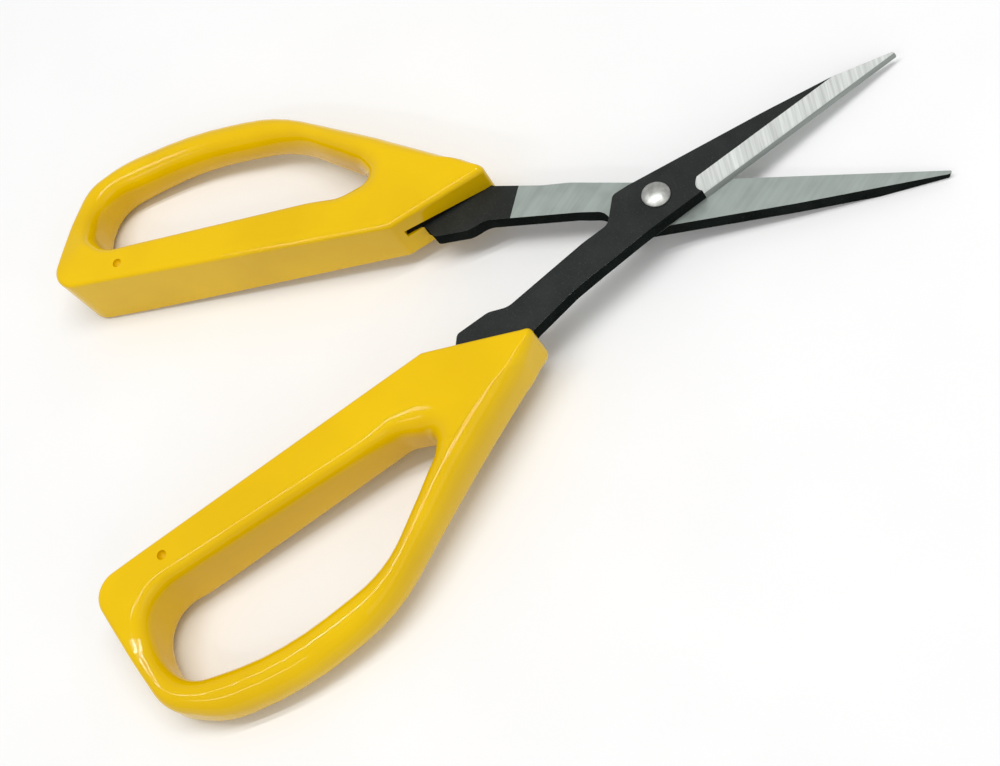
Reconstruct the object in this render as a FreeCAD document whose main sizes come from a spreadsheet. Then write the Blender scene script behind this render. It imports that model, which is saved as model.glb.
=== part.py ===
"""Office scissors: two bent steel halves, moulded loop handles and a pivot rivet.

Frame: millimetres, +Z up, lying on the table with the blades half open. +X points along
the blades' centre line and the origin is on the table, under the middle of the object.
The halves are mirror images about the XZ plane, except that the front blade lies on top
of the rear blade. Both bend down across a fold line behind the pivot, so the pivot axis
leans towards +X by the fold angle.
"""
import FreeCAD, Part
import math
import os
import Sketcher
from FreeCAD import Placement, Rotation, Vector

# Driving dimensions, in millimetres and degrees. Plan positions are measured from the
# pivot, for the half whose handle is on the -Y side; the other half mirrors Y.
DIMENSIONS = {
    # the whole object
    "shift_x": 34.71, "floor_drop": 9.2,
    "fold_angle": 6.83, "fold_x": -14.0, "plate": 3.0, "plate_gap": 0.06,
    # blade outline, in the folded plane
    "tip_x": 50.0, "tip_y": 13.55, "nose_x": 49.5, "nose_y": 14.0,
    "spine_root_x": -3.9, "spine_root_y": 4.2, "spine_radius": 640.0,
    "shoulder_x": -7.3, "shoulder_y": 3.1, "neck_x": -9.7, "neck_y": -2.0,
    "fold_inner_x": -14.0, "fold_inner_y": -3.9, "fold_outer_x": -14.0, "fold_outer_y": -10.55,
    "heel_x": -4.0, "heel_y": -6.85, "edge_radius": 1200.0,
    # shank, lobe and tang outline, in the handles' plane
    "lap_inner_x": -13.82, "lap_inner_y": -3.85, "lap_outer_x": -13.82, "lap_outer_y": -10.5,
    "lobe_foot_x": -31.2, "lobe_foot_y": -11.2, "lobe_top_x": -35.4, "lobe_top_y": -10.4,
    "lobe_end_x": -41.0, "lobe_end_y": -12.0, "lobe_back_x": -42.3, "lobe_back_y": -17.0,
    "throat_x": -50.0, "throat_y": -20.0,
    "tang_inner_x": -75.5, "tang_inner_y": -24.6, "tang_outer_x": -76.5,
    "tang_outer_y": -28.4, "keel_x": -53.0, "keel_y": -24.4,
    "cheek_tang_x": -38.0, "cheek_tang_y": -25.5,
    "shank_end_x": -28.2, "shank_end_y": -17.6, "lobe_fillet": 2.0, "anchor_radius": 1.3,
    "anchor_near_x": -45.0, "anchor_near_y": -21.6, "anchor_far_x": -68.0, "anchor_far_y": -24.7,
    # bevel of each cutting edge
    "bevel_width": 3.0, "bevel_land": 0.35, "bevel_length": 45.5, "edge_angle": 20.2,
    # pivot
    "rivet_radius": 1.75, "rivet_play": 0.05, "head_radius": 2.65, "head_rim": 0.5,
    "head_crown": 0.75, "washer_radius": 3.2, "washer_thickness": 0.6,
    "tail_radius": 2.4, "tail_height": 0.7,
    # handles, outer outline
    "handle_top": 5.7, "front_bottom": 5.7, "flat_end_x": -104.0,
    "front_inner_x": -48.5, "front_inner_y": -14.9, "rear_inner_x": -120.8,
    "rear_inner_y": -34.4, "rear_outer_x": -113.6, "rear_outer_y": -55.0,
    "arm_outer_x": -53.5, "arm_outer_y": -45.7, "cheek_x": -30.2, "cheek_y": -24.2,
    "nose_outer_x": -27.4, "nose_outer_y": -20.2, "front_outer_x": -28.0,
    "front_outer_y": -18.4,
    # handles, finger hole side
    "hole_rear_x": -107.4, "hole_rear_y": -51.0, "hole_back_x": -109.3, "hole_back_y": -44.5,
    "hole_heel_x": -107.3, "hole_heel_y": -38.3, "hole_bar_x": -56.5, "hole_bar_y": -26.4,
    "hole_nose_x": -50.6, "hole_nose_y": -29.6, "hole_cheek_x": -52.2, "hole_cheek_y": -34.6,
    "hole_arm_x": -58.0, "hole_arm_y": -40.8,
    "rear_corner": 6.0, "hole_corner": 2.5,
    # slope from the bar's top down to the bow, measured across the handle
    "relief_start": 12.0, "relief_end": 28.0, "relief_depth": 5.0, "bar_angle": 15.1,
    # bow
    "bow_width": 4.3, "bow_height": 3.9, "bow_front_drop": 2.5, "bow_slope": 2.1,
    # moulding dimple on top of the bar
    "dimple_x": -104.8, "dimple_y": -33.0, "dimple_radius": 1.1, "dimple_depth": 1.5,
}
# Centre line of the bow in plan, from the rear arm to the front arm.
BOW_LINE = [(-112.4, -44.0), (-111.4, -50.5), (-106.6, -57.6), (-97.5, -59.4), (-86.6, -58.4),
            (-74.5, -55.4), (-66.0, -52.0), (-59.6, -47.2), (-52.0, -39.8), (-46.0, -34.0)]
FRONT, REAR = 1, -1
EPSILON = 1e-6

doc = FreeCAD.newDocument("scissors")
sheet = doc.addObject("Spreadsheet::Sheet", "Sizes")
for row, (alias, value) in enumerate(DIMENSIONS.items(), start=1):
    sheet.set("A%d" % row, alias)
    sheet.set("B%d" % row, str(value))
    sheet.setAlias("B%d" % row, alias)
doc.recompute()


def size(alias):
    """One driving dimension, as the spreadsheet holds it."""
    return float(sheet.get(alias))


def new_body(label):
    """A body whose local frame is the pivot frame, lifted onto the table."""
    body = doc.addObject("PartDesign::Body", label)
    body.Label = label
    body.setExpression("Placement.Base.x", "Sizes.shift_x")
    body.setExpression("Placement.Base.z", "Sizes.floor_drop")
    return body


def new_sketch(body, name, offset=None, role="XY_Plane"):
    """A sketch on one of the body's own origin planes."""
    sketch = body.newObject("Sketcher::SketchObject", body.Name + "_" + name)
    plane = [item for item in body.Origin.OriginFeatures if item.Role == role][0]
    sketch.AttachmentSupport = [(plane, "")]
    sketch.MapMode = "FlatFace"
    if offset is not None:
        sketch.AttachmentOffset = offset
    return sketch


def bind(sketch, index, name, expression):
    sketch.renameConstraint(index, name)
    sketch.setExpression("Constraints." + name, expression)


def arc_between(start, end, radius, turn):
    """The short arc from start to end; turn is +1 for anticlockwise."""
    chord = end - start
    normal = Vector(-chord.y, chord.x, 0).normalize()
    rise = math.sqrt(radius ** 2 - (chord.Length / 2) ** 2)
    centre = (start + end) * 0.5 + normal * (rise * turn)
    first, last = (start, end) if turn > 0 else (end, start)
    angles = [math.atan2(point.y - centre.y, point.x - centre.x) for point in (first, last)]
    return Part.ArcOfCircle(Part.Circle(centre, Vector(0, 0, 1), radius), *angles)


def draw_outline(sketch, names, side, arcs=None):
    """A closed outline through named points, mirrored in Y on the rear half.

    arcs maps the name of a stretch's first point to (radius alias, turn); the other
    stretches are straight.
    """
    arcs = arcs or {}
    points = [Vector(size(name + "_x"), size(name + "_y") * side, 0) for name in names]
    starts = []
    for place, name in enumerate(names):
        start, end = points[place], points[(place + 1) % len(points)]
        if name in arcs:
            alias, turn = arcs[name]
            shape = arc_between(start, end, size(alias), turn * side)
            start_vertex = 1 if turn * side > 0 else 2
        else:
            shape = Part.LineSegment(start, end)
            start_vertex = 1
        starts.append((sketch.addGeometry(shape, False), start_vertex))
    for place, name in enumerate(names):
        edge, vertex = starts[place]
        before, before_start = starts[place - 1]
        sketch.addConstraint(Sketcher.Constraint(
            "Coincident", before, 3 - before_start, edge, vertex))
        index = sketch.addConstraint(Sketcher.Constraint(
            "DistanceX", -1, 1, edge, vertex, points[place].x))
        bind(sketch, index, name + "_x", "Sizes." + name + "_x")
        index = sketch.addConstraint(Sketcher.Constraint(
            "DistanceY", -1, 1, edge, vertex, points[place].y))
        bind(sketch, index, name + "_y", ("" if side > 0 else "-") + "Sizes." + name + "_y")
        if name in arcs:
            index = sketch.addConstraint(Sketcher.Constraint(
                "Radius", edge, size(arcs[name][0])))
            bind(sketch, index, name + "_radius", "Sizes." + arcs[name][0])


def draw_circle(sketch, name, x_text, y_text, radius_text, centre, radius):
    edge = sketch.addGeometry(Part.Circle(centre, Vector(0, 0, 1), radius), False)
    index = sketch.addConstraint(Sketcher.Constraint("Radius", edge, radius))
    bind(sketch, index, name + "_radius", radius_text)
    index = sketch.addConstraint(Sketcher.Constraint("DistanceX", -1, 1, edge, 3, centre.x))
    bind(sketch, index, name + "_x", x_text)
    index = sketch.addConstraint(Sketcher.Constraint("DistanceY", -1, 1, edge, 3, centre.y))
    bind(sketch, index, name + "_y", y_text)


def pad(body, name, sketch, length_text, down=False, both=False):
    feature = body.newObject("PartDesign::Pad", body.Name + "_" + name)
    feature.Profile = sketch
    feature.setExpression("Length", length_text)
    feature.Reversed = down
    feature.Midplane = both
    doc.recompute()
    return feature


def pocket(body, name, sketch, length, reverse=False, both=False):
    """A pocket that has to take something away."""
    before = body.Shape.Volume
    feature = body.newObject("PartDesign::Pocket", body.Name + "_" + name)
    feature.Profile = sketch
    if isinstance(length, str):
        feature.setExpression("Length", length)
    else:
        feature.Length = length
    feature.Reversed = reverse
    feature.Midplane = both
    doc.recompute()
    if body.Shape.Volume > before - EPSILON:
        raise RuntimeError(feature.Name + " cuts nothing")
    return feature


def round_edges(body, name, picked, radius_alias):
    """A fillet on the edges of the body's tip that picked(edge) accepts."""
    base = body.Tip
    edges = ["Edge%d" % number for number, edge in enumerate(base.Shape.Edges, start=1)
             if picked(edge)]
    if not edges:
        raise RuntimeError(name + " finds no edge")
    feature = body.newObject("PartDesign::Fillet", body.Name + "_" + name)
    feature.Base = (base, edges)
    feature.setExpression("Radius", "Sizes." + radius_alias)
    doc.recompute()
    return feature


def upright_at(names, side, tolerance=0.6):
    """Accepts edges along Z that stand on one of the named plan points."""
    spots = [Vector(size(name + "_x"), size(name + "_y") * side, 0) for name in names]

    def picked(edge):
        low, high = edge.Vertexes[0].Point, edge.Vertexes[-1].Point
        across = math.hypot(low.x - high.x, low.y - high.y)
        if abs(low.z - high.z) < 1.0 or across > 0.5:
            return False
        middle = (low + high) * 0.5
        return any(math.hypot(middle.x - spot.x, middle.y - spot.y) < tolerance
                   for spot in spots)
    return picked


def folded():
    """The plane of the blades: the handles' middle plane, turned about the fold line."""
    turn = Rotation(Vector(0, 1, 0), size("fold_angle"))
    hinge = Vector(size("fold_x"), 0, 0)
    return Placement(hinge - turn.multVec(hinge), turn)


def bind_fold(sketch):
    """Ties a sketch's tilt to the spreadsheet's fold."""
    angle = "Sizes.fold_angle * 1 deg"
    sketch.setExpression("AttachmentOffset.Rotation.Angle", angle)
    sketch.setExpression("AttachmentOffset.Base.x", "Sizes.fold_x * (1 - cos(%s))" % angle)
    sketch.setExpression("AttachmentOffset.Base.z", "Sizes.fold_x * sin(%s)" % angle)


def frame_at(origin, x_way, y_way):
    """A placement whose local X and Y point the given ways."""
    turn = Rotation(x_way, y_way, x_way.cross(y_way), "XYZ")
    return Placement(origin, turn)


def make_steel_half(label, side):
    """Blade, shank, lobe and tang, bent from one plate; the front one is on top."""
    body = new_body(label)
    down = side == REAR
    lift = 0.0 if side == FRONT else -size("plate_gap")

    shank = new_sketch(body, "shank", Placement(Vector(0, 0, lift), Rotation()))
    inner, outer = ("lap_inner", "lap_outer") if side == FRONT else ("fold_inner", "fold_outer")
    names = [inner, "lobe_foot", "lobe_top", "lobe_end", "lobe_back", "throat",
             "tang_inner", "tang_outer", "keel", "cheek_tang", "shank_end", outer]
    draw_outline(shank, names, side)
    pad(body, "shank_plate", shank, "Sizes.plate", down)
    round_edges(body, "lobe_curve", upright_at(["lobe_foot", "lobe_top", "lobe_end"], side),
                "lobe_fillet")

    tilt = folded()
    blade = new_sketch(body, "blade", tilt)
    bind_fold(blade)
    if side == REAR:
        blade.AttachmentOffset = tilt.multiply(Placement(Vector(0, 0, lift), Rotation()))
    names = ["fold_inner", "fold_outer", "heel", "tip", "nose", "spine_root", "shoulder",
             "neck"]
    draw_outline(blade, names, side,
                 {"heel": ("edge_radius", 1), "nose": ("spine_radius", 1)})
    pad(body, "blade_plate", blade, "Sizes.plate", down)

    edge_way = Vector(math.cos(math.radians(size("edge_angle"))),
                      math.sin(math.radians(size("edge_angle"))), 0)
    inward = Vector(-edge_way.y, edge_way.x, 0)
    start = Vector(size("tip_x"), size("tip_y"), 0) - edge_way * size("bevel_length")
    flip = Placement(Vector(0, 0, 0), Rotation(Vector(1, 0, 0), 0 if side == FRONT else 180))
    grinding = folded().multiply(Placement(Vector(0, 0, lift), Rotation())).multiply(
        flip).multiply(frame_at(start, inward, Vector(0, 0, 1)))
    bevel = new_sketch(body, "bevel", grinding)
    draw_bevel(bevel)
    pocket(body, "bevel_cut", bevel, size("bevel_length") * 1.2, reverse=True)

    eye = new_sketch(body, "eye", folded())
    bind_fold(eye)
    play = "" if side == FRONT else " + Sizes.rivet_play"
    radius = size("rivet_radius") + (0 if side == FRONT else size("rivet_play"))
    draw_circle(eye, "eye", "0", "0", "Sizes.rivet_radius" + play,
                Vector(0, 0, 0), radius)
    pocket(body, "eye_hole", eye, "Sizes.plate * 4", both=True)

    anchors = new_sketch(body, "anchors")
    for name in ("anchor_near", "anchor_far"):
        sign = "" if side == FRONT else "-"
        draw_circle(anchors, name, "Sizes.%s_x" % name, "%sSizes.%s_y" % (sign, name),
                    "Sizes.anchor_radius",
                    Vector(size(name + "_x"), size(name + "_y") * side, 0),
                    size("anchor_radius"))
    pocket(body, "anchor_holes", anchors, "Sizes.plate * 4", both=True)
    return body


def draw_bevel(sketch):
    """The wedge ground off a cutting edge: X is inward from the edge, Y is thickness."""
    width, land, top = size("bevel_width"), size("bevel_land"), size("plate")
    outside = 3.0
    corners = [Vector(-outside, land, 0), Vector(0, land, 0), Vector(width, top, 0),
               Vector(width, top + outside, 0), Vector(-outside, top + outside, 0)]
    draw_polygon(sketch, corners)
    index = sketch.addConstraint(Sketcher.Constraint("DistanceX", -1, 1, 2, 1, width))
    bind(sketch, index, "width", "Sizes.bevel_width")
    index = sketch.addConstraint(Sketcher.Constraint("DistanceY", -1, 1, 2, 1, top))
    bind(sketch, index, "top", "Sizes.plate")
    index = sketch.addConstraint(Sketcher.Constraint("DistanceY", -1, 1, 1, 1, land))
    bind(sketch, index, "land", "Sizes.bevel_land")


def make_handle(label, side):
    """A moulded loop: thick straight bar, two arms and a round bow, over the tang."""
    body = new_body(label)
    bottom = size("floor_drop")
    block = new_sketch(body, "block", Placement(Vector(0, 0, -bottom), Rotation()))
    block.setExpression("AttachmentOffset.Base.z", "-Sizes.floor_drop")
    names = ["front_inner", "rear_inner", "rear_outer", "hole_rear", "hole_back",
             "hole_heel", "hole_bar", "hole_nose", "hole_cheek", "hole_arm", "arm_outer",
             "cheek", "nose_outer", "front_outer"]
    draw_outline(block, names, side)
    pad(body, "block_pad", block, "Sizes.floor_drop + Sizes.handle_top")
    round_edges(body, "rear_round", upright_at(["rear_inner"], side), "rear_corner")
    round_edges(body, "hole_round",
                upright_at(["hole_back", "hole_heel", "hole_bar", "hole_nose",
                            "hole_cheek"], side), "hole_corner")

    underside = new_sketch(body, "underside", role="XZ_Plane")
    draw_underside(underside)
    pocket(body, "underside_cut", underside, 200.0, both=True)

    angle = math.radians(size("bar_angle"))
    across = Vector(math.sin(angle), -math.cos(angle) * side, 0)
    corner = Vector(size("front_inner_x"), size("front_inner_y") * side, 0)
    slope = new_sketch(body, "slope", frame_at(corner, across, Vector(0, 0, 1)))
    draw_slope(slope)
    pocket(body, "slope_cut", slope, 300.0, both=True)

    path = new_sketch(body, "bow_path")
    tilt = Rotation(Vector(0, 1, 0), -size("bow_slope"))
    front_x = size("hole_bar_x")
    path.AttachmentOffset = Placement(
        Vector(front_x, 0, -size("bow_front_drop")) - tilt.multVec(Vector(front_x, 0, 0)),
        tilt)
    line = Part.BSplineCurve()
    line.interpolate([Vector(x, y * side, 0) for x, y in BOW_LINE])
    path.addGeometry(line, False)
    doc.recompute()
    ring = new_sketch(body, "bow_ring")
    ring.AttachmentSupport = [(path, "Edge1")]
    ring.MapMode = "NormalToEdge"
    ring.MapPathParameter = 0.0
    doc.recompute()
    up_local = ring.Placement.Rotation.inverted().multVec(Vector(0, 0, 1))
    upright = abs(up_local.y) > abs(up_local.x)
    wide, tall = size("bow_width"), size("bow_height")
    if upright:
        ellipse = Part.Ellipse(Vector(wide, 0, 0), Vector(0, tall, 0), Vector(0, 0, 0))
    else:
        ellipse = Part.Ellipse(Vector(0, wide, 0), Vector(tall, 0, 0), Vector(0, 0, 0))
    ring.addGeometry(ellipse, False)
    doc.recompute()
    bow = body.newObject("PartDesign::AdditivePipe", label + "_bow")
    bow.Profile = ring
    bow.Spine = (path, ["Edge1"])
    doc.recompute()

    cavity = new_sketch(body, "cavity")
    lift = 0.0 if side == FRONT else -size("plate_gap")
    cavity.AttachmentOffset = Placement(Vector(0, 0, lift), Rotation())
    draw_outline(cavity, ["lobe_end", "lobe_back", "throat", "tang_inner", "tang_outer",
                          "keel", "cheek_tang", "shank_end"], side)
    pocket(body, "tang_cavity", cavity, "Sizes.plate", reverse=side == FRONT)

    dimple = new_sketch(body, "dimple", Placement(Vector(0, 0, size("handle_top")), Rotation()))
    sign = "" if side == FRONT else "-"
    draw_circle(dimple, "dimple", "Sizes.dimple_x", sign + "Sizes.dimple_y",
                "Sizes.dimple_radius",
                Vector(size("dimple_x"), size("dimple_y") * side, 0), size("dimple_radius"))
    pocket(body, "dimple_hole", dimple, "Sizes.dimple_depth")
    return body


def draw_polygon(sketch, corners):
    """Straight closed outline; returns the number of its first edge."""
    first = None
    for place, corner in enumerate(corners):
        following = corners[(place + 1) % len(corners)]
        edge = sketch.addGeometry(Part.LineSegment(corner, following), False)
        if first is None:
            first = edge
        else:
            sketch.addConstraint(Sketcher.Constraint("Coincident", edge - 1, 2, edge, 1))
    sketch.addConstraint(Sketcher.Constraint("Coincident", edge, 2, first, 1))
    return first


def draw_underside(sketch):
    """What is taken off below: flat on the table at the rear, rising to the front."""
    flat, front = size("flat_end_x"), size("front_inner_x")
    low, high = -size("floor_drop"), -size("front_bottom")
    below = low - 5.0
    draw_polygon(sketch, [Vector(flat, low, 0), Vector(front, high, 0), Vector(0, high, 0),
                          Vector(0, below, 0), Vector(flat, below, 0)])
    index = sketch.addConstraint(Sketcher.Constraint("DistanceX", -1, 1, 0, 1, flat))
    bind(sketch, index, "flat", "Sizes.flat_end_x")
    index = sketch.addConstraint(Sketcher.Constraint("DistanceY", -1, 1, 1, 1, high))
    bind(sketch, index, "high", "-Sizes.front_bottom")


def draw_slope(sketch):
    """What is taken off above: from the flat top of the bar down to the bow."""
    start, end = size("relief_start"), size("relief_end")
    top, low = size("handle_top"), size("handle_top") - size("relief_depth")
    above, outside = top + 5.0, end + 30.0
    draw_polygon(sketch, [Vector(start, top, 0), Vector(start, above, 0),
                          Vector(outside, above, 0), Vector(outside, low, 0),
                          Vector(end, low, 0)])
    index = sketch.addConstraint(Sketcher.Constraint("DistanceX", -1, 1, 0, 1, start))
    bind(sketch, index, "start", "Sizes.relief_start")
    index = sketch.addConstraint(Sketcher.Constraint("DistanceX", -1, 1, 4, 1, end))
    bind(sketch, index, "end", "Sizes.relief_end")


def make_turned(label, outline):
    """A round piece on the pivot axis from its half outline in (radius, height)."""
    body = new_body(label)
    body.clearExpression("Placement.Base.x")
    body.clearExpression("Placement.Base.z")
    lifted = Placement(Vector(size("shift_x"), 0, size("floor_drop")), Rotation())
    body.Placement = lifted.multiply(folded())
    sketch = new_sketch(body, "half", role="XZ_Plane")
    outline(sketch)
    feature = body.newObject("PartDesign::Revolution", label + "_turned")
    feature.Profile = sketch
    feature.ReferenceAxis = (sketch, ["V_Axis"])
    feature.Angle = 360.0
    doc.recompute()
    return body


def on_dome(radius, base, height):
    """A point half way out on the dome that stands on base; its top lies on the axis."""
    ball = (radius ** 2 + height ** 2) / (2 * abs(height))
    drop = ball - math.sqrt(ball ** 2 - (radius / 2) ** 2)
    return Vector(radius / 2, base + height - math.copysign(drop, height), 0)


def rivet_outline(sketch):
    """Domed head on the front blade, shank, and the tail peened over the washer."""
    shank, head, tail = size("rivet_radius"), size("head_radius"), size("tail_radius")
    seat = size("plate")
    rim = seat + size("head_rim")
    crown = rim + size("head_crown")
    under = -size("plate") - 2 * size("plate_gap") - size("washer_thickness")
    end = under - size("tail_height")
    axis_top, axis_end = Vector(0, crown, 0), Vector(0, end, 0)
    rim_point, tail_point = Vector(head, rim, 0), Vector(tail, under, 0)
    dome_middle = on_dome(head, rim, size("head_crown"))
    tail_middle = on_dome(tail, under, -size("tail_height"))
    sketch.addGeometry([
        Part.LineSegment(axis_end, axis_top),
        Part.Arc(axis_top, dome_middle, rim_point),
        Part.LineSegment(rim_point, Vector(head, seat, 0)),
        Part.LineSegment(Vector(head, seat, 0), Vector(shank, seat, 0)),
        Part.LineSegment(Vector(shank, seat, 0), Vector(shank, under, 0)),
        Part.LineSegment(Vector(shank, under, 0), tail_point),
        Part.Arc(tail_point, tail_middle, axis_end)], False)
    index = sketch.addConstraint(Sketcher.Constraint("DistanceX", -1, 1, 4, 1, shank))
    bind(sketch, index, "shank", "Sizes.rivet_radius")
    index = sketch.addConstraint(Sketcher.Constraint("DistanceX", -1, 1, 4, 2, shank))
    bind(sketch, index, "shank_low", "Sizes.rivet_radius")


def washer_outline(sketch):
    inner, outer = size("rivet_radius"), size("washer_radius")
    top = -size("plate") - 2 * size("plate_gap")
    low = top - size("washer_thickness")
    draw_polygon(sketch, [Vector(inner, low, 0), Vector(outer, low, 0),
                          Vector(outer, top, 0), Vector(inner, top, 0)])
    index = sketch.addConstraint(Sketcher.Constraint("DistanceX", -1, 1, 1, 1, outer))
    bind(sketch, index, "outer", "Sizes.washer_radius")


pieces = [
    make_steel_half("front_blade", FRONT),
    make_steel_half("rear_blade", REAR),
    make_handle("front_handle", FRONT),
    make_handle("rear_handle", REAR),
    make_turned("pivot_rivet", rivet_outline),
    make_turned("rivet_washer", washer_outline),
]
doc.recompute()

for item in doc.Objects:
    if {"Invalid", "Error"} & set(item.State):
        raise RuntimeError("%s did not compute: %s" % (item.Name, item.State))
for piece in pieces:
    if piece.Shape.isNull() or not piece.Shape.isValid() or len(piece.Shape.Solids) != 1:
        raise RuntimeError(piece.Label + " is not one valid solid")

os.makedirs("parts", exist_ok=True)
for piece in pieces:
    piece.Shape.exportStep(os.path.join("parts", piece.Label + ".step"))
    box = piece.Shape.BoundBox
    print("%-13s volume %8.1f  x %7.2f %7.2f  y %7.2f %7.2f  z %6.2f %6.2f" % (
        piece.Label, piece.Shape.Volume, box.XMin, box.XMax, box.YMin, box.YMax,
        box.ZMin, box.ZMax))
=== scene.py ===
"""Office scissors: the looks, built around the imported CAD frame.

Shapes are worked out in millimetres in the pivot frame: the origin is on the pivot, in the
handles' middle plane, with the blades along +X and the handle of the drawn half on the -Y
side. The other half is the same one mirrored. place() takes a point to the row frame.
"""
import math

import bmesh
import bpy
from mathutils import Euler, Matrix, Vector

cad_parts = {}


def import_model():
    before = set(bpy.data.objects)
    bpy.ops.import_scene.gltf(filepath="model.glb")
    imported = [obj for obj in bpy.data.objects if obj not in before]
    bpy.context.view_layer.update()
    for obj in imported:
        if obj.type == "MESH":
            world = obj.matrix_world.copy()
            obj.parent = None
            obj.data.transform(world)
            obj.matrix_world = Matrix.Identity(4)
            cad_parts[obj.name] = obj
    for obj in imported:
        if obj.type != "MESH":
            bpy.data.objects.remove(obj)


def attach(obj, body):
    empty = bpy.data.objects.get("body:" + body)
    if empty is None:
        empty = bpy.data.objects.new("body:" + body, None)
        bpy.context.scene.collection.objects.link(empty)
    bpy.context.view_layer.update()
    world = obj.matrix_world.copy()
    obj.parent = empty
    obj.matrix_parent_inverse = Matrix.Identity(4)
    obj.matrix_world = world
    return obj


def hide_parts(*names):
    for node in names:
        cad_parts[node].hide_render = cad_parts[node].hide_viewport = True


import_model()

MM = 0.001
FRONT, REAR = 1, -1
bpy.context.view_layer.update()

# The pivot frame's origin in the row frame.
SHIFT_X, FLOOR_DROP = 34.71, 9.2
# Steel: both halves are bent down behind the pivot.
PLATE, PLATE_GAP = 3.0, 0.06
FOLD_X, FOLD_ANGLE, FOLD_SOFTNESS = -14.0, math.radians(6.83), 1.2
# Plastic.
HANDLE_TOP, FRONT_BOTTOM = 5.7, 5.7


def place(point):
    """A point of the pivot frame, in millimetres, in the row frame, in metres."""
    return Vector((point[0] + SHIFT_X, point[1], point[2] + FLOOR_DROP)) * MM


# ---------------------------------------------------------------- outlines

def rounded(corners, step=math.radians(7)):
    """A closed outline from corners (x, y, radius).

    Returns its points and, for each corner, the number of the point half way round it.
    """
    points, middles = [], []
    for number, (x, y, radius) in enumerate(corners):
        corner = Vector((x, y))
        before = (Vector(corners[number - 1][:2]) - corner).normalized()
        after = (Vector(corners[(number + 1) % len(corners)][:2]) - corner).normalized()
        turn = math.pi - before.angle(after)
        parts = max(2, 2 * math.ceil(turn / step / 2))
        middles.append(len(points) + parts // 2)
        reach = radius * math.tan(turn / 2)
        centre = corner + (before + after).normalized() * (radius / math.cos(turn / 2))
        start = corner + before * reach - centre
        finish = corner + after * reach - centre
        whole = start.angle_signed(finish)
        for part in range(parts + 1):
            spoke = start.copy()
            spoke.rotate(Matrix.Rotation(-whole * part / parts, 2))
            points.append(centre + spoke)
    return points, middles


class Outline:
    """A closed line that can be walked by its length."""

    def __init__(self, corners):
        self.points, self.middles = rounded(corners)
        self.lengths = [0.0]
        for number, point in enumerate(self.points):
            following = self.points[(number + 1) % len(self.points)]
            self.lengths.append(self.lengths[-1] + (following - point).length)
        self.total = self.lengths[-1]

    def corner(self, number):
        return self.lengths[self.middles[number]]

    def at(self, length):
        length %= self.total
        number = max(n for n in range(len(self.points)) if self.lengths[n] <= length + 1e-9)
        start = self.points[number]
        finish = self.points[(number + 1) % len(self.points)]
        span = self.lengths[number + 1] - self.lengths[number]
        share = (length - self.lengths[number]) / span if span else 0.0
        return start.lerp(finish, share)

    def normal(self, length, reach):
        """The outward normal of an outline that runs anticlockwise."""
        along = self.at(length + reach) - self.at(length - reach)
        return Vector((along.y, -along.x)).normalized()


# ---------------------------------------------------------------- meshes

def new_object(name, mesh, materials):
    piece = bpy.data.objects.new(name, mesh)
    bpy.context.scene.collection.objects.link(piece)
    for material in materials:
        mesh.materials.append(material)
    return piece


def from_bmesh(name, source, materials=()):
    mesh = bpy.data.meshes.new(name)
    source.to_mesh(mesh)
    source.free()
    return new_object(name, mesh, materials)


def prism(name, outline, low, high):
    """A straight solid on a plan outline, for cutting."""
    work = bmesh.new()
    base = work.faces.new([work.verts.new((x, y, low)) for x, y in outline])
    raised = bmesh.ops.extrude_face_region(work, geom=[base])["geom"]
    tops = [item for item in raised if isinstance(item, bmesh.types.BMVert)]
    bmesh.ops.translate(work, verts=tops, vec=(0, 0, high - low))
    bmesh.ops.recalc_face_normals(work, faces=work.faces)
    return from_bmesh(name, work)


def cut(piece, cutters):
    """Takes the cutters out of a piece and deletes them."""
    for cutter in cutters:
        modifier = piece.modifiers.new("cut", "BOOLEAN")
        modifier.operation = "DIFFERENCE"
        modifier.solver = "EXACT"
        modifier.object = cutter
    bpy.context.view_layer.update()
    graph = bpy.context.evaluated_depsgraph_get()
    result = bpy.data.meshes.new_from_object(piece.evaluated_get(graph))
    piece.modifiers.clear()
    piece.data = result
    for cutter in cutters:
        bpy.data.objects.remove(cutter)


def smooth(piece, angle):
    """Smooth shading, broken where faces meet at more than this angle."""
    for face in piece.data.polygons:
        face.use_smooth = True
    piece.data.set_sharp_from_angle(angle=math.radians(angle))
    weighted = piece.modifiers.new("face weights", "WEIGHTED_NORMAL")
    weighted.keep_sharp = True


# ---------------------------------------------------------------- materials

# How many times longer than wide a grinding mark is.
STREAK_LENGTH = 22.0


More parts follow.
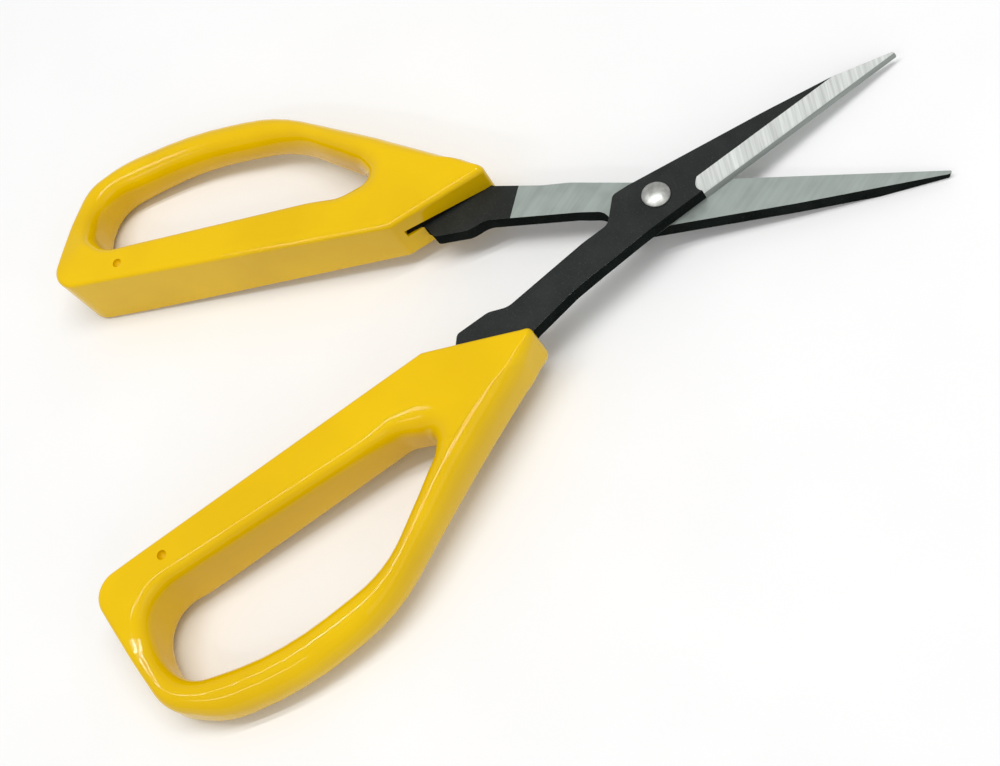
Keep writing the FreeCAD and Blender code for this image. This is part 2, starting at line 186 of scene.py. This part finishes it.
class Nodes:
    """Short forms for building one material's node tree."""

    def __init__(self, name):
        self.material = bpy.data.materials.new(name)
        self.material.use_nodes = True
        self.tree = self.material.node_tree
        self.shader = self.tree.nodes["Principled BSDF"]

    def add(self, kind, settings=None, **inputs):
        node = self.tree.nodes.new(kind)
        for key, value in (settings or {}).items():
            setattr(node, key, value)
        for key, value in inputs.items():
            self.feed(node, key.replace("_", " "), value)
        return node

    def feed(self, node, key, value):
        socket = node.inputs[int(key)] if key.isdigit() else node.inputs[key]
        if isinstance(value, bpy.types.NodeSocket):
            self.tree.links.new(value, socket)
        else:
            socket.default_value = value

    def set(self, **inputs):
        for key, value in inputs.items():
            self.feed(self.shader, key.replace("_", " "), value)

    def noise(self, scale, detail=3.0, streak=None):
        """Noise in the piece's own coordinates; scale is per metre.

        With streak, an angle in plan, the noise is drawn out into marks along it.
        """
        way = self.add("ShaderNodeTexCoord").outputs["Object"]
        if streak is not None:
            way = self.add("ShaderNodeMapping", {"vector_type": "TEXTURE"}, Vector=way,
                           Scale=(STREAK_LENGTH, 1, STREAK_LENGTH),
                           Rotation=(0, 0, streak)).outputs[0]
        return self.add("ShaderNodeTexNoise", Vector=way, Scale=scale,
                        Detail=detail).outputs["Fac"]

    def spread(self, value, low, high, to_low=0.0, to_high=1.0):
        node = self.add("ShaderNodeMapRange", Value=value)
        for key, number in (("From Min", low), ("From Max", high), ("To Min", to_low),
                            ("To Max", to_high)):
            node.inputs[key].default_value = number
        return node.outputs[0]

    def mix(self, share, first, second):
        node = self.add("ShaderNodeMix", {"data_type": "RGBA"})
        self.tree.links.new(share, node.inputs[0])
        for socket, value in ((node.inputs[6], first), (node.inputs[7], second)):
            if isinstance(value, bpy.types.NodeSocket):
                self.tree.links.new(value, socket)
            else:
                socket.default_value = (*value, 1)
        return node.outputs[2]

    def bump(self, height, distance, strength=1.0):
        node = self.add("ShaderNodeBump", Height=height, Distance=distance, Strength=strength)
        self.feed(self.shader, "Normal", node.outputs[0])


def plastic_material():
    """Glossy yellow moulded plastic with faint flow and handling marks."""
    make = Nodes("yellow_plastic")
    flow = make.spread(make.noise(55, 2.0), 0.35, 0.65)
    colour = make.mix(flow, (0.73, 0.455, 0.0), (0.785, 0.500, 0.0))
    make.set(Base_Color=colour, IOR=1.45, Specular_IOR_Level=0.28)
    make.set(Roughness=make.spread(make.noise(240, 3.0), 0.3, 0.7, 0.05, 0.11))
    make.bump(make.noise(700, 2.0), 0.00001, 0.25)
    return make.material


def oxide_material(name, wear_and_highlight_share, gloss):
    """Blackened steel: satin, finely speckled, and brightened in patches by the share given. On
    the rims this brightening is edge wear together with a painted highlight.
    """
    make = Nodes(name)
    speck = make.spread(make.noise(5200, 2.0), 0.60, 0.78)
    cloud = make.spread(make.noise(160, 4.0), 0.35, 0.7)
    black = make.mix(cloud, (0.006, 0.008, 0.007), (0.012, 0.015, 0.014))
    rubbed = make.mix(speck, black, (0.045, 0.052, 0.050))
    # Bright grey patches: on the rims, partly edge wear and partly a painted highlight.
    wear_and_highlight = make.spread(make.noise(700, 4.0), 0.66 - 0.34 * wear_and_highlight_share, 0.74 - 0.24 * wear_and_highlight_share)
    colour = make.mix(wear_and_highlight, rubbed, (0.40, 0.43, 0.41)) if wear_and_highlight_share else rubbed
    make.set(Base_Color=colour, IOR=1.5, Specular_IOR_Level=gloss)
    make.set(Roughness=make.spread(make.noise(420, 3.0), 0.3, 0.7, 0.38, 0.52))
    make.bump(make.noise(4200, 3.0), 0.00002, 0.3)
    return make.material


def ground_material(name, shade, across, fine=1.0, depth=0.78, metal=0.85):
    """Bare ground steel; across is the way of the grinding marks, in degrees."""
    make = Nodes(name)
    streak = math.radians(across)
    marks = make.noise(1600 * fine, 3.0, streak)
    bands = make.noise(420 * fine, 2.0, streak)
    dark = tuple(channel * depth for channel in shade)
    both = make.add("ShaderNodeMath", {"operation": "ADD"})
    make.tree.links.new(make.spread(marks, 0.35, 0.65, 0.0, 0.65), both.inputs[0])
    make.tree.links.new(make.spread(bands, 0.35, 0.65, 0.0, 0.35), both.inputs[1])
    make.set(Base_Color=make.mix(both.outputs[0], dark, shade), Metallic=metal)
    make.set(Roughness=make.spread(make.noise(300, 3.0), 0.3, 0.7, 0.40, 0.52))
    make.bump(marks, 0.00003, 0.5)
    return make.material


def rivet_material(name, shade):
    """Satin metal with the mottling of a pressed head."""
    make = Nodes(name)
    blotch = make.spread(make.noise(900, 4.0), 0.35, 0.68)
    colour = make.mix(blotch, tuple(channel * 0.72 for channel in shade), shade)
    make.set(Base_Color=colour, Metallic=0.95)
    make.set(Roughness=make.spread(make.noise(1500, 3.0), 0.3, 0.7, 0.34, 0.50))
    make.bump(make.noise(1400, 3.0), 0.00006, 0.5)
    return make.material


# ---------------------------------------------------------------- steel halves

# Outline of one flat half before it is bent: (x, y, corner radius).
HALF_CORNERS = [
    (50.0, 13.55, 0.15), (49.3, 14.05, 0.5), (23.1, 9.52, 150.0), (-4.3, 4.1, 5.0),
    (-7.4, 3.2, 1.4), (-9.9, -2.5, 2.6), (-31.4, -10.9, 4.0), (-35.2, -10.3, 3.5),
    (-41.8, -12.1, 1.1), (-43.1, -15.5, 1.4), (-46.9, -15.1, 0.5), (-50.5, -17.8, 3.0),
    (-75.5, -24.6, 0.8),
    (-76.5, -28.4, 0.8), (-53.0, -24.4, 3.0), (-38.0, -25.5, 2.0), (-27.9, -17.45, 1.0),
    (-19.2, -13.15, 8.0), (-14.3, -11.3, 6.0), (-4.0, -6.85, 20.0),
]
EDGE_ANGLE = math.radians(20.6)
EDGE_TIP = Vector((50.0, 13.55))
BEVEL_WIDTH, BEVEL_LENGTH, BEVEL_RUNOUT = 3.0, 45.35, 0.7
# The rounded start of the bevel: its middle, how much it curls back and at most how far
# out the curl goes on.
START_MIDDLE, START_CURL, CURL_LIMIT = 0.9, 3.2, 0.6
# The cutter: how far it goes past the tip, above the plate, outside the edge and back from
# the bevel's start at its top, and the places across it, in bevel widths.
PAST_TIP, PAST_TOP, PAST_EDGE, PAST_START = 6.0, 3.0, 4.0, 0.4
ACROSS = [0.3 + 0.1 * n for n in range(8)]
MICRO_WIDTH, MICRO_HEIGHT, EDGE_LAND = 0.42, 0.95, 0.12
GROUND_LINE = (Vector((-26.56, -9.54)), Vector((-23.55, -14.94)))
RIM_ROUND = 0.16
# Every point of a bevel is in front of the first, and the cut edge in front of the second.
BEVEL_BEHIND, CUT_BEHIND = 5.5, 8.5
EYE_RADIUS, EYE_SIDES = 1.8, 48
BLACK, RIM_WEAR_AND_HIGHLIGHT, GROUND, BEVEL, MICRO, WALL = range(6)


def edge_frame(along, inward):
    """Plan position from a distance back from the tip and a distance in from the edge."""
    way = Vector((math.cos(EDGE_ANGLE), math.sin(EDGE_ANGLE)))
    side = Vector((-way.y, way.x))
    return EDGE_TIP - way * along + side * inward


def bevel_height(inward):
    """The ground surface's height above the mating plane, that far in from the edge."""
    if inward < MICRO_WIDTH:
        rise = (MICRO_HEIGHT - EDGE_LAND) * max(inward, 0.0) / MICRO_WIDTH
        return EDGE_LAND + rise
    share = (inward - MICRO_WIDTH) / (BEVEL_WIDTH - MICRO_WIDTH)
    return MICRO_HEIGHT + (PLATE - MICRO_HEIGHT) * share


def bevel_cutter():
    """What the grinding wheel takes off, with its rounded start."""
    above = PLATE + PAST_TOP
    inwards = [-PAST_EDGE, 0.0, MICRO_WIDTH] + [BEVEL_WIDTH * share for share in ACROSS]
    work = bmesh.new()
    rows = []
    for inward in inwards:
        away = (inward - START_MIDDLE) / BEVEL_WIDTH
        curl = BEVEL_LENGTH - START_CURL * min(away * away, CURL_LIMIT)
        low = bevel_height(inward)
        wall = BEVEL_RUNOUT * (PLATE - low) / PLATE
        rows.append([
            work.verts.new((*edge_frame(curl - wall, inward), low)),
            work.verts.new((*edge_frame(-PAST_TIP, inward), low)),
            work.verts.new((*edge_frame(-PAST_TIP, inward), above)),
            work.verts.new((*edge_frame(curl + PAST_START, inward), above)),
        ])
    for first, second in zip(rows, rows[1:]):
        for corner in range(4):
            following = (corner + 1) % 4
            work.faces.new([first[corner], first[following], second[following],
                            second[corner]])
    work.faces.new(rows[0][::-1])
    work.faces.new(rows[-1])
    bmesh.ops.recalc_face_normals(work, faces=work.faces)
    return from_bmesh("bevel_cutter", work)


def is_cutting_rim(edge):
    """Whether an edge of the plate lies along the part that is ground sharp."""
    middle = (edge.verts[0].co + edge.verts[1].co) / 2
    way = Vector((math.cos(EDGE_ANGLE), math.sin(EDGE_ANGLE)))
    offset = middle.xy - EDGE_TIP
    return abs(offset.dot(Vector((-way.y, way.x)))) < 0.6 and middle.x > CUT_BEHIND


def flat_half(materials):
    """One half as a flat plate on the mating plane, with rounded rims and its bevel."""
    points = rounded(HALF_CORNERS, math.radians(6))[0]
    work = bmesh.new()
    base = work.faces.new([work.verts.new((point.x, point.y, 0)) for point in points])
    raised = bmesh.ops.extrude_face_region(work, geom=[base])["geom"]
    tops = [item for item in raised if isinstance(item, bmesh.types.BMVert)]
    bmesh.ops.translate(work, verts=tops, vec=(0, 0, PLATE))
    bmesh.ops.recalc_face_normals(work, faces=work.faces)
    # The rounded rims get the rim material, a bright grey band that is partly edge wear and
    # partly a painted highlight.
    rims = [edge for edge in work.edges
            if abs(edge.verts[0].co.z - edge.verts[1].co.z) < 1e-6 and not is_cutting_rim(edge)]
    bmesh.ops.bevel(work, geom=rims, offset=RIM_ROUND, segments=2, profile=0.5,
                    affect="EDGES", material=RIM_WEAR_AND_HIGHLIGHT, clamp_overlap=True)
    piece = from_bmesh("half", work, materials)
    turns = [2 * math.pi * n / EYE_SIDES for n in range(EYE_SIDES)]
    eye = [(EYE_RADIUS * math.cos(turn), EYE_RADIUS * math.sin(turn)) for turn in turns]
    cut(piece, [bevel_cutter(), prism("eye", eye, -1, PLATE + 1)])
    return piece


def split(work, point, normal):
    """Cuts the mesh's faces along a plane, keeping both sides."""
    everything = work.verts[:] + work.edges[:] + work.faces[:]
    bmesh.ops.bisect_plane(work, geom=everything, plane_co=point, plane_no=normal, dist=1e-5)


def finish_faces(work):
    """Gives each face of the flat half its finish."""
    start, end = GROUND_LINE
    ahead = Vector((start.y - end.y, end.x - start.x))
    for face in work.faces:
        middle, normal = face.calc_center_median(), face.normal
        inward = (middle.xy - EDGE_TIP).dot(Vector((-math.sin(EDGE_ANGLE),
                                                    math.cos(EDGE_ANGLE))))
        ground = (middle.xy - start).dot(ahead) > 0
        on_bevel = middle.x > BEVEL_BEHIND and inward < BEVEL_WIDTH + 0.1
        facing_up = normal.z > 0.05 and inward > -0.3
        if normal.z < -0.9:
            face.material_index = GROUND if ground else BLACK
        elif on_bevel and inward < MICRO_WIDTH and middle.z < MICRO_HEIGHT:
            face.material_index = MICRO
        elif on_bevel and facing_up and RIM_ROUND < middle.z < PLATE - 0.01:
            face.material_index = BEVEL
        elif face.material_index != RIM_WEAR_AND_HIGHLIGHT:
            face.material_index = WALL if abs(normal.z) < 0.1 else BLACK


def bend(point):
    """Takes a point of the flat plate round the fold."""
    offset = point.x - FOLD_X
    share = min(max((offset + FOLD_SOFTNESS) / (2 * FOLD_SOFTNESS), 0.0), 1.0)
    angle = FOLD_ANGLE * share
    if share <= 0.0:
        return point
    if share < 1.0:
        radius = 2 * FOLD_SOFTNESS / FOLD_ANGLE
        start = FOLD_X - FOLD_SOFTNESS
        return Vector((start + (radius + point.z) * math.sin(angle), point.y,
                       (radius + point.z) * math.cos(angle) - radius))
    x, z = offset, point.z
    return Vector((FOLD_X + x * math.cos(angle) + z * math.sin(angle), point.y,
                   -x * math.sin(angle) + z * math.cos(angle)))


def steel_half(name, side, materials, node, body):
    piece = flat_half(materials)
    piece.name = name
    work = bmesh.new()
    work.from_mesh(piece.data)
    bmesh.ops.remove_doubles(work, verts=work.verts, dist=1e-5)
    start, end = GROUND_LINE
    along = end - start
    split(work, (*start, 0), (along.y, -along.x, 0))
    for step in range(-4, 5):
        split(work, (FOLD_X + FOLD_SOFTNESS * step / 4, 0, 0), (1, 0, 0))
    work.normal_update()
    finish_faces(work)
    for vert in work.verts:
        point = vert.co.copy()
        if side == REAR:
            point = Vector((point.x, -point.y, -point.z - PLATE_GAP))
        vert.co = place(bend(point))
    bmesh.ops.recalc_face_normals(work, faces=work.faces)
    work.to_mesh(piece.data)
    work.free()
    smooth(piece, 25)
    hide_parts(node)
    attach(piece, body)
    return piece


# ---------------------------------------------------------------- handles

# Outer outline of a loop, anticlockwise from the front inner corner: (x, y, radius).
OUTER_CORNERS = [
    (-48.5, -14.2, 2.2), (-120.36, -33.6, 5.0), (-112.1, -58.9, 8.0), (-102.4, -63.2, 18.0),
    (-87.2, -63.2, 66.0), (-67.3, -56.8, 33.0), (-31.3, -23.2, 2.4), (-28.0, -19.2, 1.4),
    (-28.1, -17.9, 0.8),
]
FRONT_SLOPE = (-17.9 + 14.2) / (-28.1 + 48.5)
# Finger hole, in the same order.
HOLE_CORNERS = [
    (-57.0, -27.2, 5.0), (-111.3, -39.3, 8.2), (-110.4, -55.6, 8.0), (-87.5, -55.6, 60.0),
    (-65.8, -48.9, 25.0), (-52.1, -33.9, 6.0), (-50.4, -28.8, 2.2),
]


def underside(x):
    """Height of the slanted underside: lowest and flat at the rear."""
    share = min(max((x - FLAT_X) / (SLANT_X - FLAT_X), 0.0), 1.0)
    return -FLOOR_DROP + (FLOOR_DROP - FRONT_BOTTOM) * share


FLAT_X, SLANT_X = -104.0, -48.5
# How square to a rim a section counts at least, how far to each side a rim's normal is
# taken, the share of a width that two roundings may fill, and the plastic's widths at
# which the hole's roundings change from along the section to square to the rim.
LEAST_FACING, NORMAL_REACH, HOLE_NORMAL_REACH, FULL = 0.35, 1.0, 0.6, 0.98
NARROW, WIDE = 11.0, 17.0
# Sections round the loop: outer corner, hole corner, shift from that outer corner in mm,
# shift from the hole corner, height of the top at the hole side and outer side, then
# (width, height) of the rounding: hole top, outer top, outer bottom, hole bottom.
SECTIONS = [
    (0, 0, 0.0, 0.0, 5.7, 5.7, (3.2, 4.2), (0.9, 0.9), (1.0, 1.0), (3.0, 3.4)),
    (0, 0, 12.0, 8.0, 5.7, 5.7, (2.0, 3.2), (0.8, 0.8), (1.0, 1.0), (3.0, 3.4)),
    (1, 1, -12.0, -9.0, 5.7, 5.7, (2.0, 3.2), (0.8, 0.8), (1.0, 1.0), (3.0, 3.4)),
    (1, 1, 0.0, 0.0, 5.7, 5.7, (2.5, 3.6), (1.0, 1.0), (1.0, 1.0), (4.2, 5.0)),
    (1, 2, 13.0, -7.0, 3.9, 3.9, (2.9, 3.6), (1.2, 1.2), (1.4, 1.6), (4.2, 5.0)),
    (2, 2, 0.0, 0.0, 1.8, 1.4, (3.4, 3.8), (2.4, 2.6), (3.2, 3.6), (4.0, 4.2)),
    (4, 3, -9.0, -8.0, 1.2, 0.3, (4.2, 4.2), (4.2, 4.2), (4.2, 4.2), (4.2, 4.2)),
    (4, 3, 6.0, 6.0, 1.5, 0.8, (4.2, 4.2), (4.2, 4.2), (4.2, 4.2), (4.2, 4.2)),
    (5, 4, 0.0, 0.0, 2.2, 1.8, (3.8, 4.2), (3.6, 4.4), (3.6, 4.4), (3.4, 3.8)),
    (5, 5, 16.0, -6.0, 4.1, 3.9, (3.6, 4.4), (3.4, 4.6), (3.4, 4.8), (3.0, 3.4)),
    (6, 5, -18.0, 0.0, 5.5, 5.4, (4.2, 5.0), (3.0, 4.8), (3.4, 4.8), (3.0, 3.4)),
    (6, 6, -4.0, -2.0, 5.7, 5.7, (5.0, 5.4), (2.8, 4.6), (3.2, 4.4), (3.0, 3.4)),
    (7, 6, -2.0, 0.0, 5.7, 5.7, (5.0, 5.4), (1.8, 2.4), (2.6, 3.2), (3.0, 3.4)),
    (8, 6, 1.5, 1.0, 5.7, 5.7, (4.8, 5.2), (1.1, 1.3), (1.6, 1.6), (3.0, 3.4)),
]


def gentle_slopes(places, heights):
    """Slopes at closed-loop keys that let a cubic pass through them without overshoot."""
    count = len(places) - 1
    rises = [(heights[n + 1] - heights[n]) / (places[n + 1] - places[n]) for n in range(count)]
    slopes = []
    for number in range(count):
        before, after = rises[number - 1], rises[number]
        level = before * after <= 0
        slopes.append(0.0 if level else 2 * before * after / (before + after))
    return slopes + slopes[:1]


def eased(share, span, start, finish, slope_start, slope_finish):
    """A cubic between two keys that leaves and arrives with the given slopes."""
    square, cube = share ** 2, share ** 3
    return ((2 * cube - 3 * square + 1) * start + (cube - 2 * square + share) * span * slope_start
            + (3 * square - 2 * cube) * finish + (cube - square) * span * slope_finish)


def loop_stations(outer, hole):
    """Every place round the loop where a section stands, with its blended values."""
    keys = []
    for entry in SECTIONS:
        at_outer = outer.corner(entry[0]) + entry[2]
        at_hole = hole.corner(entry[1]) + entry[3]
        values = [entry[4], entry[5]] + [number for pair in entry[6:] for number in pair]
        keys.append((at_outer, at_hole, values))
    first = keys[0]
    keys.append((first[0] + outer.total, first[1] + hole.total, first[2]))
    places = [key[0] for key in keys]
    slopes = [gentle_slopes(places, column) for column in zip(*(key[2] for key in keys))]
    stations = []
    for number, ((o1, h1, v1), (o2, h2, v2)) in enumerate(zip(keys, keys[1:])):
        shares = {round(n / 8, 4) for n in range(8)}
        for line, low, high in ((outer, o1, o2), (hole, h1, h2)):
            for lap in (0, line.total):
                shares |= {round((length + lap - low) / (high - low), 4)
                           for length in line.lengths[:-1] if low < length + lap < high}
        for share in sorted(share for share in shares if share < 0.9995):
            values = [eased(share, o2 - o1, a, b, slope[number], slope[number + 1])
                      for a, b, slope in zip(v1, v2, slopes)]
            stations.append((o1 + (o2 - o1) * share, h1 + (h2 - h1) * share, values))
    return stations


def fitted(one, other, room):
    """Two sizes, both scaled down if together they need more than the room."""
    scale = min(1.0, FULL * room / (one + other))
    return one * scale, other * scale


def rim_way(normal, across):
    """The way roundings run from the hole's rim: square to the rim where the plastic is
    wide, along the section where it is narrow."""
    way = across.normalized()
    facing = way.dot(normal)
    along = way / max(LEAST_FACING, abs(facing))
    share = min(max((across.length - NARROW) / (WIDE - NARROW), 0.0), 1.0)
    return along.lerp(math.copysign(1.0, facing) * normal, share)


def section(hole_point, hole_way, outer_point, slant, values, parts=7):
    """Points round one upright section, from the hole side over the top.

    Roundings on the hole side are measured square to the hole's rim, and those on the
    outer side along the section, made longer by its slant to the rim.
    """
    width = (outer_point - hole_point).length
    top = (values[0] + values[1]) / 2
    low = (underside(hole_point.x) + underside(outer_point.x)) / 2
    tilt = values[1] - values[0]
    lean = hole_way.dot((outer_point - hole_point).normalized())
    near_top, far_top = fitted(values[2] * lean, values[4] * slant, width)
    near_low, far_low = fitted(values[8] * lean, values[6] * slant, width)
    near_top, near_low = near_top / lean, near_low / lean
    near_high, near_deep = fitted(values[3], values[9], top - low)
    far_high, far_deep = fitted(values[5], values[7], top - low)
    outer_way = (hole_point - outer_point).normalized()
    corners = [(hole_point, hole_way, near_top, near_high, top, 1),
               (outer_point, outer_way, far_top, far_high, top, 1),
               (outer_point, outer_way, far_low, far_deep, low, -1),
               (hole_point, hole_way, near_low, near_deep, low, -1)]
    points = []
    for number, (rim, way, reach, tall, level, upward) in enumerate(corners):
        for part in range(parts + 1):
            turn = math.pi / 2 * part / parts
            if number % 2:
                turn = math.pi / 2 - turn
            plan = rim + way * (reach * (1 - math.cos(turn)))
            height = level - upward * tall * (1 - math.sin(turn))
            share = (plan - hole_point).length / width
            height += tilt * (share - 0.5) * (height - low) / (top - low)
            points.append((plan, height))
    return points


def handle_mesh(name, side, materials):
    outer, hole = Outline(OUTER_CORNERS), Outline(HOLE_CORNERS)
    work = bmesh.new()
    rings = []
    for at_outer, at_hole, values in loop_stations(outer, hole):
        outer_point, hole_point = outer.at(at_outer), hole.at(at_hole)
        way = (outer_point - hole_point).normalized()
        slant = 1 / max(LEAST_FACING, abs(way.dot(outer.normal(at_outer, NORMAL_REACH))))
        hole_way = rim_way(hole.normal(at_hole, HOLE_NORMAL_REACH), outer_point - hole_point)
        rings.append([work.verts.new(place((plan.x, plan.y * side, height)))
                      for plan, height in section(hole_point, hole_way, outer_point,
                                                  slant, values)])
    for number, ring in enumerate(rings):
        following = rings[(number + 1) % len(rings)]
        for corner in range(len(ring)):
            beside = (corner + 1) % len(ring)
            work.faces.new([ring[corner], ring[beside], following[beside], following[corner]])
    bmesh.ops.recalc_face_normals(work, faces=work.faces)
    return from_bmesh(name, work, materials)


# Gap left over the steel in the front face, beside the lobe: where it ends and where it
# closes, how deep it goes into the block, and its height above the steel at its end.
GAP_END, GAP_CLOSE, GAP_DEPTH = -46.7, -30.0, 4.0
GAP_HEIGHTS = {FRONT: 1.1, REAR: 1.95}
# How far the cutter stands out of the front face, how far its floor sinks into the steel at
# the gap's end and where it closes, and its height above the steel there.
GAP_OUT, GAP_SINK, GAP_CLOSE_SINK, GAP_CLOSE_HEIGHT = 2.0, 0.05, 0.3, 0.02
DIMPLE = (-104.8, -33.0)
DIMPLE_RADIUS, DIMPLE_DEPTH = 0.95, 1.2


def gap_cutter(side):
    """A wedge over the steel that is open to the front and thins towards the nose."""
    steel_top = PLATE if side == FRONT else -PLATE_GAP
    tip_height = steel_top + GAP_HEIGHTS[side]
    work = bmesh.new()
    for x, low, high in ((GAP_END, steel_top - GAP_SINK, tip_height),
                         (GAP_CLOSE, steel_top - GAP_CLOSE_SINK,
                          steel_top + GAP_CLOSE_HEIGHT)):
        front = OUTER_CORNERS[0][1] + (x - OUTER_CORNERS[0][0]) * FRONT_SLOPE
        for y in (front + GAP_OUT, front - GAP_DEPTH):
            for z in (low, high):
                work.verts.new(place((x, y * side, z)))
    bmesh.ops.convex_hull(work, input=work.verts)
    return from_bmesh("gap", work)


def dimple_cutter(side):
    """A ball that leaves a shallow pit in the top of the bar."""
    ball = (DIMPLE_RADIUS ** 2 + DIMPLE_DEPTH ** 2) / (2 * DIMPLE_DEPTH)
    work = bmesh.new()
    bmesh.ops.create_uvsphere(work, u_segments=32, v_segments=20, radius=ball * MM)
    centre = place((DIMPLE[0], DIMPLE[1] * side, HANDLE_TOP + ball - DIMPLE_DEPTH))
    bmesh.ops.translate(work, verts=work.verts, vec=centre)
    return from_bmesh("dimple", work)


def handle(name, side, material, node, body):
    piece = handle_mesh(name, side, [material])
    cut(piece, [gap_cutter(side), dimple_cutter(side)])
    smooth(piece, 35)
    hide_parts(node)
    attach(piece, body)
    return piece


# ---------------------------------------------------------------- pivot

def turned(name, outline, material, node, body, segments=96):
    """A round piece on the pivot axis from its half outline in (radius, height)."""
    tilt = Matrix.Translation((FOLD_X, 0, 0)) @ Matrix.Rotation(FOLD_ANGLE, 4, "Y")
    tilt = tilt @ Matrix.Translation((-FOLD_X, 0, 0))
    work = bmesh.new()
    rings = []
    for step in range(segments):
        angle = 2 * math.pi * step / segments
        rings.append([work.verts.new(place(tilt @ Vector(
            (radius * math.cos(angle), radius * math.sin(angle), height))))
            for radius, height in outline])
    for number, ring in enumerate(rings):
        following = rings[(number + 1) % segments]
        for corner in range(len(outline)):
            beside = (corner + 1) % len(outline)
            work.faces.new([ring[corner], following[corner], following[beside], ring[beside]])
    bmesh.ops.remove_doubles(work, verts=work.verts, dist=1e-7)
    bmesh.ops.recalc_face_normals(work, faces=work.faces)
    piece = from_bmesh(name, work, [material])
    smooth(piece, 35)
    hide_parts(node)
    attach(piece, body)
    return piece


def dome(radius, base, height, parts=14):
    """Half of a shallow dome from its rim to just beside the axis."""
    ball = (radius ** 2 + height ** 2) / (2 * abs(height))
    whole = math.asin(min(1.0, radius / ball))
    up = math.copysign(1, height)
    return [(ball * math.sin(whole * (1 - part / parts)) + 1e-4,
             base + height - up * ball * (1 - math.cos(whole * (1 - part / parts))))
            for part in range(parts + 1)]


RIVET_RADIUS, HEAD_RADIUS, HEAD_RIM, HEAD_CROWN = 1.75, 2.65, 0.5, 0.75
WASHER_RADIUS, WASHER_THICKNESS, TAIL_RADIUS, TAIL_HEIGHT = 3.2, 0.6, 2.4, 0.7


def rivet_outline():
    under = -PLATE - 2 * PLATE_GAP - WASHER_THICKNESS
    rim = PLATE + HEAD_RIM
    head = [(HEAD_RADIUS - 0.12, PLATE), (HEAD_RADIUS, PLATE + 0.12), (HEAD_RADIUS, rim - 0.12)]
    return (dome(TAIL_RADIUS, under, -TAIL_HEIGHT)[::-1] + [(RIVET_RADIUS, under),
            (RIVET_RADIUS, PLATE)] + head + dome(HEAD_RADIUS - 0.1, rim, HEAD_CROWN))


def washer_outline():
    top = -PLATE - 2 * PLATE_GAP
    low, ease = top - WASHER_THICKNESS, 0.12
    return [(RIVET_RADIUS, low), (WASHER_RADIUS - ease, low), (WASHER_RADIUS, low + ease),
            (WASHER_RADIUS, top - ease), (WASHER_RADIUS - ease, top), (RIVET_RADIUS, top)]


# ---------------------------------------------------------------- stage

def floor():
    work = bmesh.new()
    bmesh.ops.create_grid(work, x_segments=1, y_segments=1, size=3.0)
    make = Nodes("floor")
    tone = make.spread(make.noise(30, 2.0), 0.3, 0.7)
    make.set(Base_Color=make.mix(tone, (0.86, 0.86, 0.86), (0.88, 0.88, 0.88)))
    make.set(Roughness=0.9)
    piece = from_bmesh("floor", work, [make.material])


def area_light(name, place_at, aim, size_x, size_y, power, turn=0.0):
    light = bpy.data.lights.new(name, "AREA")
    light.shape = "RECTANGLE"
    light.size, light.size_y, light.energy = size_x, size_y, power
    holder = bpy.data.objects.new(name, light)
    bpy.context.scene.collection.objects.link(holder)
    holder.location = place_at
    facing = (Vector(aim) - Vector(place_at)).to_track_quat("-Z", "Y")
    holder.rotation_euler = (facing @ Euler((0, 0, turn)).to_quaternion()).to_euler()


def world():
    scene_world = bpy.data.worlds.new("studio")
    scene_world.use_nodes = True
    background = scene_world.node_tree.nodes["Background"]
    background.inputs["Color"].default_value = (1, 1, 1, 1)
    background.inputs["Strength"].default_value = 0.52
    bpy.context.scene.world = scene_world


def camera():
    data = bpy.data.cameras.new("camera")
    data.sensor_width, data.lens = 36.0, 59.9
    data.shift_x, data.shift_y = 0.0024, -0.0030
    holder = bpy.data.objects.new("camera", data)
    bpy.context.scene.collection.objects.link(holder)
    holder.location = (0.053665, -0.171348, 0.259923)
    holder.rotation_euler = tuple(math.radians(angle) for angle in (25.923, 20.194, -14.601))
    data.clip_start = 0.01
    bpy.context.scene.camera = holder


black = oxide_material("black_oxide", 0.0, 0.30)
# Rim material: mostly bright grey, partly edge wear and partly a painted highlight along the
# rounded rims.
wear_and_highlight = oxide_material("rim_wear_and_painted_highlight", 0.9, 0.6)
wall = oxide_material("black_side", 0.0, 0.0)
ground = ground_material("ground_face", (0.40, 0.45, 0.42), 40.0, 0.8, 0.84)
bevel = ground_material("ground_bevel", (0.81, 0.84, 0.81), 82.0, 1.3, 0.70, 0.45)
micro = ground_material("honed_edge", (0.34, 0.37, 0.35), 20.0, 1.4)
steels = [black, wear_and_highlight, ground, bevel, micro, wall]
yellow = plastic_material()
steel_half("front_blade_steel", FRONT, steels, "front_blade", "front")
steel_half("rear_blade_steel", REAR, steels, "rear_blade", "rear")
handle("front_handle_plastic", FRONT, yellow, "front_handle", "front")
handle("rear_handle_plastic", REAR, yellow, "rear_handle", "rear")
turned("pivot_rivet_steel", rivet_outline(), rivet_material("rivet_head", (0.60, 0.61, 0.58)),
       "pivot_rivet", "front")
turned("rivet_washer_steel", washer_outline(), rivet_material("washer", (0.62, 0.64, 0.62)),
       "rivet_washer", "front")
floor()
world()
for number, offset in enumerate((-0.045, 0.075)):
    area_light("tube_%d" % number, (0.0, offset, 0.80), (0.0, offset, 0.0), 0.9, 0.014, 2.1)
area_light("left_strip", (-0.50, -0.66, 0.84), (-0.03, 0.0, 0.0), 0.5, 0.05, 0.8)
area_light("front_fill", (0.50, -0.80, 0.55), (0, 0, 0), 0.8, 0.5, 1.0)
camera()
bpy.context.scene.view_settings.view_transform = "Standard"
